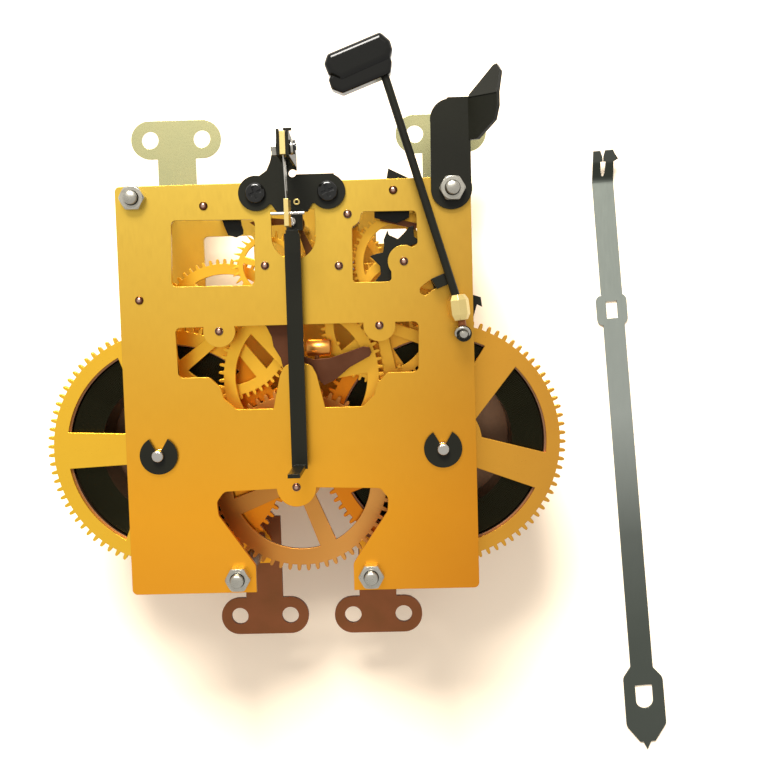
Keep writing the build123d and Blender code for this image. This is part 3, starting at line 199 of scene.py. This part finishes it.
def ramp(made, value, stops):
    """Colour ramp through (place, hex) stops."""
    band = add(made, "ShaderNodeValToRGB", {0: value})
    elements = band.color_ramp.elements
    for i, (place, tone) in enumerate(stops):
        element = elements[i] if i < 2 else elements.new(place)
        element.position = place
        element.color = colour(tone)
    return band.outputs[0]


def along(made, where, direction, start_mm, end_mm):
    """0 to 1 along a direction of the row frame, between two distances from the origin."""
    dot = add(made, "ShaderNodeVectorMath", {0: where, 1: direction}, operation="DOT_PRODUCT")
    span = add(made, "ShaderNodeMapRange",
               {"Value": dot.outputs["Value"], "From Min": start_mm * MM, "From Max": end_mm * MM})
    return span.outputs[0]


def toned(made, where, tint, band, share, blend):
    """Tint with a slow colour change laid over it. The band is (direction, start, end, stops), in mm."""
    direction, start, end, stops = band
    tone = ramp(made, along(made, where, direction, start, end), stops)
    mixed = add(made, "ShaderNodeMix", {"Factor": share, 6: tint, 7: tone}, data_type="RGBA", blend_type=blend)
    return mixed.outputs[2]


def metal(name, tints, rough, grain_mm, relief, stretch=(1, 1, 1), patch_mm=18.0, edge=EDGE_RADIUS,
          painted_light=None, painted_shade=None):
    """Metal with a drifting tint and a fine grain. An optional band of painted light and shade mostly replaces
    the tint, and an optional second band of painted shade darkens the result."""
    made = bpy.data.materials.new(name)
    made.use_nodes = True
    shader = made.node_tree.nodes["Principled BSDF"]
    where = add(made, "ShaderNodeTexCoord").outputs["Object"]
    tint = drift(made, where, tints, patch_mm)
    # Painted light and shade: a colour band along one direction replaces most of the tint.
    if painted_light:
        tint = toned(made, where, tint, painted_light, PAINTED_LIGHT_SHARE, "MIX")
    # Painted shade: a second band along one direction darkens the tint.
    if painted_shade:
        tint = toned(made, where, tint, painted_shade, 1.0, "MULTIPLY")
    drawn = add(made, "ShaderNodeMapping", {"Vector": where, "Scale": stretch})
    grain = add(made, "ShaderNodeTexNoise",
                {"Vector": drawn.outputs[0], "Scale": 1000 / grain_mm, "Detail": 3.0})
    gloss = add(made, "ShaderNodeMapRange",
                {"Value": grain.outputs["Fac"], "To Min": rough[0], "To Max": rough[1]})
    bevel = add(made, "ShaderNodeBevel", {"Radius": edge * MM}, samples=4)
    bump = add(made, "ShaderNodeBump", {"Height": grain.outputs["Fac"], "Strength": relief,
                                        "Distance": GRAIN_DEPTH * MM, "Normal": bevel.outputs[0]})
    links = made.node_tree.links
    links.new(tint, shader.inputs["Base Color"])
    links.new(gloss.outputs[0], shader.inputs["Roughness"])
    links.new(bump.outputs[0], shader.inputs["Normal"])
    shader.inputs["Metallic"].default_value = 1.0
    return made


# Painted light on the plates: pale yellow at the top, where the light falls, deepening to orange towards the
# bottom.
PLATE_PAINTED_LIGHT = ((0, -1, 0), -60, 66,
              [(0.0, "#D8B84E"), (1.0, "#FBA424"), (0.3, "#E2B444"), (0.55, "#ECAC32"), (0.81, "#FFAC24")])
# Painted shade on the plates: they darken a little towards the right.
PLATE_PAINTED_SHADE = ((1, 0, 0), -54, 54, [(0.0, "#FFFFFF"), (1.0, "#E6DADE"), (0.6, "#FCFCFC")])
# Leader band: grey top, a narrow painted shade on the bent fork, then lighter mid-length and darker below.
LEADER_TONE_AND_PAINTED_SHADE = ((0, -1, 0), -74, 150,
               [(0.0, "#4C4E48"), (1.0, "#4B4F49"), (0.016, "#4A4C46"), (0.02, "#23271F"), (0.042, "#262A22"),
                (0.05, "#A2A9A0"), (0.2, "#A9B0A7"), (0.42, "#B0B6AF"), (0.62, "#6B706A"), (0.76, "#555A53")])
# Painted shade on the great wheels: darker across the middle, where the plates shade them, and a little on the
# right.
GREAT_WHEEL_PAINTED_SHADE = ((1, 0, 0), -78, 78,
               [(0.0, "#FFFFFF"), (1.0, "#F2ECEC"), (0.3, "#FFFFFF"), (0.38, "#ECB890"),
                (0.62, "#ECB890"), (0.7, "#F6F0F0")])
# Painted shade on the wheels: bright yellow on the left, turning darker and more orange towards the right.
WHEEL_PAINTED_SHADE = ((1, 0, 0), -78, 78, [(0.0, "#FFCB3A"), (1.0, "#E2A640"), (0.4, "#FFC43C")])
# Painted shadow on the second wheel: dark brown on the left, where the plate shades it, to orange on the right.
SECOND_WHEEL_PAINTED_SHADOW = ((1, 0, 0), -32, 26, [(0.0, "#9A6028"), (1.0, "#F0AE5C"), (0.4, "#D08C40")])
# Painted highlight on the arbor ends: dark reddish at each dome's foot, partly oil and partly painted
# reflection, pale at the crown.
PIVOT_PAINTED_HIGHLIGHT = ((0, 0, 1), 68.0, 68.95,
              [(0.0, "#200D07"), (1.0, "#D8B4A0"), (0.6, "#4A2014"), (0.88, "#7A4A36")])
plate_brass = metal("lacquered_rolled_brass", ("#E8BC50", "#DEA63C"), (0.28, 0.36), 0.5, 0.10,
                    (1, 0.12, 1), painted_light=PLATE_PAINTED_LIGHT, painted_shade=PLATE_PAINTED_SHADE)
wheel_brass = metal("stamped_wheel_brass", ("#FFC04A", "#E0A038"), (0.26, 0.40), 0.3, 0.12,
                    patch_mm=9.0, edge=0.30, painted_light=WHEEL_PAINTED_SHADE)
great_brass = metal("great_wheel_brass", ("#FFC04A", "#E0A038"), (0.24, 0.36), 0.3, 0.12,
                    patch_mm=9.0, edge=0.34, painted_light=WHEEL_PAINTED_SHADE, painted_shade=GREAT_WHEEL_PAINTED_SHADE)
# A darker brass whose tints are painted shadow, for the second wheel and the lifting lever's block.
brass_in_painted_shadow = metal("wheel_brass_in_painted_shadow", ("#D89A4C", "#B8783A"), (0.28, 0.42), 0.3, 0.12,
                     patch_mm=9.0, edge=0.30, painted_light=SECOND_WHEEL_PAINTED_SHADOW)
pale_brass = metal("pale_turned_brass", ("#F2DC98", "#E6C878"), (0.24, 0.36), 0.3, 0.12)
turned_steel = metal("turned_bright_steel", ("#C9C6BE", "#B4B0A8"), (0.18, 0.30), 0.25, 0.10, (1, 1, 6))
zinc_nut = metal("zinc_plated_steel", ("#C6C3B8", "#A09C90"), (0.22, 0.36), 0.4, 0.10, patch_mm=3.0)
yellow_zinc = metal("yellow_passivated_zinc", ("#C8C08C", "#B6B688"), (0.24, 0.32), 0.5, 0.10, patch_mm=9.0)
# A copper brown: painted shade and reflected brass on the lower feet and their rivets, the copper red of the
# hammer's neck collar.
copper_brown_and_painted_shade = metal("copper_brown_steel_and_painted_shade", ("#9A5C3C", "#7A5030"), (0.32, 0.46), 0.5, 0.12, patch_mm=9.0)
leader_steel = metal("tempered_grey_steel", ("#7C8178", "#5E645C"), (0.28, 0.38), 0.5, 0.10,
                     (1, 0.1, 1), painted_light=LEADER_TONE_AND_PAINTED_SHADE)
spring_steel = metal("oil_tempered_spring_steel", ("#302F20", "#1F1E14"), (0.24, 0.36), 0.5, 0.10)
drum_steel = metal("oil_stained_drum_steel", ("#AA8468", "#86664E"), (0.34, 0.50), 0.6, 0.12, patch_mm=12.0)
bronze = metal("dark_bronze", ("#8A5A34", "#5E3A22"), (0.28, 0.42), 0.4, 0.12, patch_mm=5.0)
red_lever = metal("copper_brown_lever_steel", ("#6A4430", "#4A2A1C"), (0.34, 0.46), 0.5, 0.12, patch_mm=10.0)
pivot_steel = metal("burnished_pivot_steel_painted_highlight", ("#8A6450", "#5A3A2C"), (0.16, 0.26), 0.3, 0.05, edge=0.02,
                    painted_light=PIVOT_PAINTED_HIGHLIGHT)
print("metals:", len(bpy.data.materials) - 1)

# %% [markdown]
# The suspension bracket, the crutch, the strap, the clips and the hammer rod are blackened steel. An
# oiled black oxide is a thin dark film over the steel, so it is nearly colourless and shines softly.
# The bracket's screws are polished before they are blackened, and the hammer's head is nylon.

# %% Blackened steel and black nylon
def dark(name, tints, rough, grain_mm, relief, shine):
    """Dark film over a hard body: almost no colour of its own, a grain in the gloss and little mirror light."""
    made = metal(name, tints, rough, grain_mm, relief)
    shader = made.node_tree.nodes["Principled BSDF"]
    shader.inputs["Metallic"].default_value = 0.0
    shader.inputs["Specular IOR Level"].default_value = shine
    return made


black_oxide = dark("oiled_black_oxide_steel", ("#16160D", "#0D0D08"), (0.24, 0.38), 0.4, 0.15, 0.20)
black_screw = dark("polished_black_screw_steel", ("#0C0C09", "#070706"), (0.08, 0.14), 0.4, 0.10, 0.5)
black_nylon = dark("moulded_black_nylon", ("#0B0B08", "#080806"), (0.14, 0.20), 0.6, 0.05, 0.30)
print("dark finishes:", black_oxide.name, black_screw.name, black_nylon.name)

# %% [markdown]
# Each ready-made piece now gets its finish; several finishes also carry painted light or shade.

# %% Finish of each machined piece
SIDES = ("going", "strike")
finishes = {
    plate_brass: ["back_plate", "front_plate"],
    brass_in_painted_shadow: ["second_wheel"],
    wheel_brass: ["centre_wheel", "third_wheel", "escape_wheel", "pin_wheel", "locking_wheel",
                  "warning_wheel", "fly", "minute_wheel", "hour_wheel", "cannon_pinion", "rack", "hammer_hub"],
    great_brass: [side + "_great_wheel" for side in SIDES],
    pale_brass: ["suspension_top_block", "suspension_low_block"],
    turned_steel: ["pillars", "front_studs", "suspension_strip", "suspension_pin", "verge_arbor",
                   "second_arbor", "centre_arbor", "third_arbor", "escape_arbor", "pin_wheel_arbor",
                   "locking_arbor", "warning_arbor", "fly_arbor"]
                  + [side + part for side in SIDES for part in ("_winding_arbor", "_ratchet", "_click")],
    drum_steel: [side + "_barrel" for side in SIDES],
    bronze: ["pallets"],
    zinc_nut: ["plate_nuts"],
    yellow_zinc: ["upper_feet"],
    # The lower feet lie near the table; their brown is painted shade and reflection, against the yellow zinc of
    # the upper feet.
    copper_brown_and_painted_shade: ["lower_feet", "foot_rivets"],
    leader_steel: ["pendulum_leader"],
    spring_steel: ["click_springs"],
    black_screw: ["suspension_screws"],
    black_oxide: ["suspension_bracket", "gong_strap", "arbor_clips", "crutch", "hammer_arbor",
                  "hammer_rod", "locking_lever", "warning_lever"],
    black_nylon: ["hammer_head"],
    red_lever: ["lifting_lever"],
}
for finish, names in finishes.items():
    for name in names:
        nodes[name].data.materials.clear()
        nodes[name].data.materials.append(finish)
finished = sum(len(names) for names in finishes.values())
print("finished:", finished, "of", len(nodes), "nodes, not the mainsprings")

# %% [markdown]
# The smaller forms are made as meshes. Nearly all of them are round, so one helper turns a profile about
# an axis, and another carries a round section along a path.

# %% Helpers for new pieces
def piece(name, points, faces, finish, body, smooth=True):
    """One mesh piece from points in millimetres, placed in the row frame, that rides on a body."""
    mesh = bpy.data.meshes.new(name)
    mesh.from_pydata((np.asarray(points) * MM).tolist(), [], [list(face) for face in faces])
    work = bmesh.new()
    work.from_mesh(mesh)
    bmesh.ops.recalc_face_normals(work, faces=work.faces)
    work.to_mesh(mesh)
    work.free()
    mesh.polygons.foreach_set("use_smooth", np.full(len(mesh.polygons), smooth))
    mesh.materials.append(finish)
    made = bpy.data.objects.new(name, mesh)
    bpy.context.scene.collection.objects.link(made)
    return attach(made, body)


def ring_faces(rows, around, closed=False):
    """Quads between neighbouring rings of points, all the way round each ring."""
    row = np.arange(rows if closed else rows - 1)[:, None]
    column = np.arange(around)[None, :]
    after = (column + 1) % around
    next_row = (row + 1) % rows
    corners = [row * around + column, row * around + after,
               next_row * around + after, next_row * around + column]
    return np.stack([np.broadcast_to(c, (len(row), around)) for c in corners], axis=-1).reshape(-1, 4)


def axes_for(direction):
    """Three unit axes, the last along a direction."""
    third = np.asarray(direction, float) / np.linalg.norm(direction)
    helper = np.array([0.0, 1.0, 0.0]) if abs(third[1]) < 0.9 else np.array([1.0, 0.0, 0.0])
    first = np.cross(helper, third)
    first /= np.linalg.norm(first)
    return np.stack([first, np.cross(third, first), third])


def turned(name, profile, place, finish, body, direction=(0, 0, 1), around=40, flats=0, smooth=True):
    """Turned piece: a point is the place, plus its radius round the axis, plus its height along it.

    The profile is a list of (radius, height) from one end to the other, and both ends are closed with a
    flat face. With flats, the radius grows towards each corner of a polygon of that many sides."""
    profile = np.asarray(profile, float)
    angle = np.linspace(0, 2 * math.pi, around, endpoint=False)
    grow = np.ones(around)
    if flats:
        sector = 2 * math.pi / flats
        grow = 1 / np.cos((angle % sector) - sector / 2)
    radius = profile[:, :1] * grow[None, :]
    local = np.stack([radius * np.cos(angle), radius * np.sin(angle), np.repeat(profile[:, 1:], around, 1)], -1)
    points = np.asarray(place) + local.reshape(-1, 3) @ axes_for(direction)
    faces = list(ring_faces(len(profile), around))
    faces.append(np.arange(around)[::-1])
    faces.append(np.arange(around) + (len(profile) - 1) * around)
    return piece(name, points, faces, finish, body, smooth)


def hoop(name, profile, place, finish, body, direction=(0, 0, 1), around=48):
    """Closed ring: a closed profile of (radius, height) carried once round the axis."""
    profile = np.asarray(profile, float)
    angle = np.linspace(0, 2 * math.pi, around, endpoint=False)
    local = np.stack([
        profile[:, 0][None, :] * np.cos(angle)[:, None],
        profile[:, 0][None, :] * np.sin(angle)[:, None],
        np.repeat(profile[:, 1][None, :], around, 0),
    ], -1)
    points = np.asarray(place) + local.reshape(-1, 3) @ axes_for(direction)
    return piece(name, points, ring_faces(around, len(profile), closed=True), finish, body)


def round_section(radius, centre_radius, height, count=12):
    """Small circle as a closed profile for a hoop."""
    angle = np.linspace(0, 2 * math.pi, count, endpoint=False)
    return np.stack([centre_radius + radius * np.cos(angle), height + radius * np.sin(angle)], -1)


def dome(radius, low, high, steps=8):
    """Profile of a dome: the radius follows a quarter of an ellipse from the foot to the crown."""
    angle = np.linspace(0, math.pi / 2 * 0.97, steps)
    return np.stack([radius * np.cos(angle), low + (high - low) * np.sin(angle)], -1)


print("helpers ready")

# %% [markdown]
# Each mainspring is a long steel ribbon, wound tight against the drum in many turns and led across to
# the arbor in one wide arc. The machined model has ten turns of the same form, and here it has more
# and thinner ones.

# %% Mainsprings
PLATE_TOP = 68.0
BARREL_AT = (43.8, -22.35)
COIL_TURNS = 26
COIL_OUTER = 32.7
COIL_INNER = 22.9
HUB_RADIUS = 8.0
RIBBON = 0.30
COIL_LOW, COIL_HIGH = 31.8, 48.4
STEPS_PER_TURN = 120


def coil(side_name, side):
    """Ribbon along a spiral: the radius falls evenly over the wound turns, then runs in to the hub.

    A point's radius is the outer one less an even share for each turn. Over the last half turn it
    falls along a half cosine from the innermost turn to the arbor's hub."""
    wound = np.arange(COIL_TURNS * STEPS_PER_TURN + 1) / STEPS_PER_TURN
    radius = COIL_OUTER + (COIL_INNER - COIL_OUTER) * wound / COIL_TURNS
    last = np.arange(1, STEPS_PER_TURN // 2 + 1) / (STEPS_PER_TURN / 2)
    radius = np.concatenate([radius, HUB_RADIUS + (COIL_INNER - HUB_RADIUS) * (1 + np.cos(math.pi * last)) / 2])
    angle = np.concatenate([wound, COIL_TURNS + last / 2]) * 2 * math.pi
    half = RIBBON / 2
    rows = []
    for offset, height in ((half, COIL_LOW), (half, COIL_HIGH), (-half, COIL_HIGH), (-half, COIL_LOW)):
        reach = radius + offset
        across = side * (-reach * np.cos(angle))
        rows.append(np.stack([across, reach * np.sin(angle), np.full_like(reach, height)], -1))
    points = np.stack(rows, 1).reshape(-1, 3) + (side * BARREL_AT[0], BARREL_AT[1], 0)
    count = len(radius)
    faces = [list(face) for face in ring_faces(count, 4)]
    faces.append([3, 2, 1, 0])
    faces.append([4 * count - 4, 4 * count - 3, 4 * count - 2, 4 * count - 1])
    ribbon = piece(side_name + "_spring_coil", points, faces, spring_steel, side_name + "_barrel", smooth=False)
    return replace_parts(ribbon, side_name + "_mainspring")


for side_name, side in (("going", -1), ("strike", 1)):
    ribbon = coil(side_name, side)
    print(ribbon.name, len(ribbon.data.polygons), "faces")

# %% [markdown]
# The back ends of the arbors stand a little proud of the plate as burnished domes, with a painted highlight
# at each crown and a dark reddish foot that is partly oil and partly painted reflection. The studs of the
# pillars end in a rounded tip above their last threads, and a thin black hoop where they leave the nut is
# a painted shadow.

# %% Arbor ends and stud tips
PIVOTS = {
    "second": (-1.7, -33.3), "third": (-23.8, 15.4), "escape": (-9.0, 35.0), "pin": (25.3, 15.9),
    "locking": (33.3, 35.1), "warning": (13.5, 34.3), "fly": (16.6, 49.8), "lifting_lever": (-47.9, 25.5),
    "warning_lever": (-27.1, 53.5), "locking_lever": (30.6, 56.6),
}
PIVOT_DOME = dome(1.3, 0.03, 0.98)
for body, (x, y) in PIVOTS.items():
    end = turned(body + "_arbor_end", PIVOT_DOME, (x, y, PLATE_TOP), pivot_steel, body, around=32)

PILLARS = {"upper_left": (-48.4, 56.4, 71.0), "upper_right": (48.4, 56.4, 72.5),
           "lower_left": (-20.7, -61.5, 71.0), "lower_right": (20.7, -61.5, 71.0)}
THREAD_PITCH = 0.7
THREAD_RADIUS = 2.03
THREAD_DEPTH = 0.09
THREAD_HEIGHT = np.arange(0, 1.41, THREAD_PITCH / 4)
THREAD_WAVE = THREAD_RADIUS + THREAD_DEPTH * np.cos(2 * math.pi * THREAD_HEIGHT / THREAD_PITCH)
STUD_TIP = np.concatenate([np.stack([THREAD_WAVE, THREAD_HEIGHT], -1), dome(1.95, 1.45, 2.0)])
NUT_SHADOW = [(2.05, 0.02), (2.35, 0.02), (2.32, 0.10), (2.05, 0.10)]
for name, (x, y, z) in PILLARS.items():
    turned(name + "_stud_tip", STUD_TIP, (x, y, z), zinc_nut, "frame")
    # Painted shadow: a thin black hoop where the stud leaves the nut.
    hoop(name + "_thread_shadow", NUT_SHADOW, (x, y, z), black_oxide, "frame")
print("arbor ends:", len(PIVOTS), "stud tips:", len(PILLARS))

# %% [markdown]
# Small things that the machined model leaves out: the nut and the head on the clamp screw, an eyelet on
# the bracket, the brass block on the lifting lever, the detent on the locking lever, and what sits on
# the hammer's arbor. The turned barrel of the hammer's hub takes the place of the plain machined one.

# %% Small fittings
CLAMP_LEVEL = (67.6, 88.0)
CLAMP_NUT = [(1.9, 0.0), (2.25, 0.15), (2.25, 1.45), (1.9, 1.6)]
CLAMP_HEAD = np.concatenate([[(2.1, 0.0), (2.15, 0.6)], dome(2.1, 0.7, 1.7)])
LEVER_BLOCK = [(0.6, 0), (2.2, 0.15), (2.6, 0.6), (2.6, 7.3), (2.2, 7.75), (0.6, 7.9)]
BLOCK_POST = [(0.7, 0), (0.75, 0.2), (0.75, 3.0), (0.7, 3.2)]
ARBOR_CAP = [(1.4, 0.0), (1.62, 0.1), (1.62, 1.3), (1.2, 1.72), (0.2, 1.78)]
NECK_COLLAR = [(0.9, 0.0), (1.15, 0.15), (1.15, 3.6), (0.9, 3.8)]
HUB_BARREL = [(0.6, 0.0), (2.1, 0.1), (2.95, 1.7), (3.0, 3.9), (2.95, 6.1), (2.1, 7.7), (0.6, 7.8)]
RIGHT = (1, 0, 0)
HAMMER_RUN = (-0.103, 0.995, 0)
DETENT_ENDS = ((26.4, 48.7), (37.4, 45.9))
DETENT_WIDTH = 1.7
DETENT_LEVELS = (61.0, 62.42)

turned("clamp_nut", CLAMP_NUT, (-3.4, *CLAMP_LEVEL), zinc_nut, "frame", RIGHT, around=48, flats=6, smooth=False)
turned("clamp_head", CLAMP_HEAD, (1.8, *CLAMP_LEVEL), zinc_nut, "frame", RIGHT)
hoop("bracket_eyelet", round_section(0.26, 0.75, 0.2), (1.45, 53.75, 69.5), pale_brass, "frame")
# The block's brass is darkened as painted shadow.
turned("lever_block", LEVER_BLOCK, (2.1, 9.3, 61.2), brass_in_painted_shadow, "lifting_lever", RIGHT)
turned("lever_block_post", BLOCK_POST, (5.4, 5.0, 61.6), bronze, "lifting_lever", (0, 1, 0))
turned("hammer_arbor_cap", ARBOR_CAP, (50.5, 12.9, 75.9), zinc_nut, "hammer")
hoop("hammer_spring_eye", round_section(0.42, 2.0, 0.0), (50.1, 13.1, 77.2), zinc_nut, "hammer", (0, -0.6, 0.8))
turned("hammer_neck_collar", NECK_COLLAR, (50.4, 13.8, 74.5), copper_brown_and_painted_shade, "hammer", HAMMER_RUN)
hub = turned("hammer_hub_barrel", HUB_BARREL, (49.7, 16.8, 74.5), pale_brass, "hammer", HAMMER_RUN,
             around=48, flats=8, smooth=False)
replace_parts(hub, "hammer_hub")


def flat_bar(name, start, end, width, low, high, finish, body):
    """Flat bar between two points, half its width to each side, from one height to another."""
    run = np.subtract(end, start)
    side = np.array([-run[1], run[0]]) / np.linalg.norm(run) * width / 2
    corners = [np.add(start, side), np.subtract(start, side), np.subtract(end, side), np.add(end, side)]
    points = [(*corner, height) for height in (low, high) for corner in corners]
    faces = [(0, 1, 2, 3), (7, 6, 5, 4), (0, 4, 5, 1), (1, 5, 6, 2), (2, 6, 7, 3), (3, 7, 4, 0)]
    return piece(name, points, faces, finish, body, smooth=False)


flat_bar("locking_detent", *DETENT_ENDS, DETENT_WIDTH, *DETENT_LEVELS, red_lever, "locking_lever")
print("fittings added")

# %% [markdown] End


print("scene built")
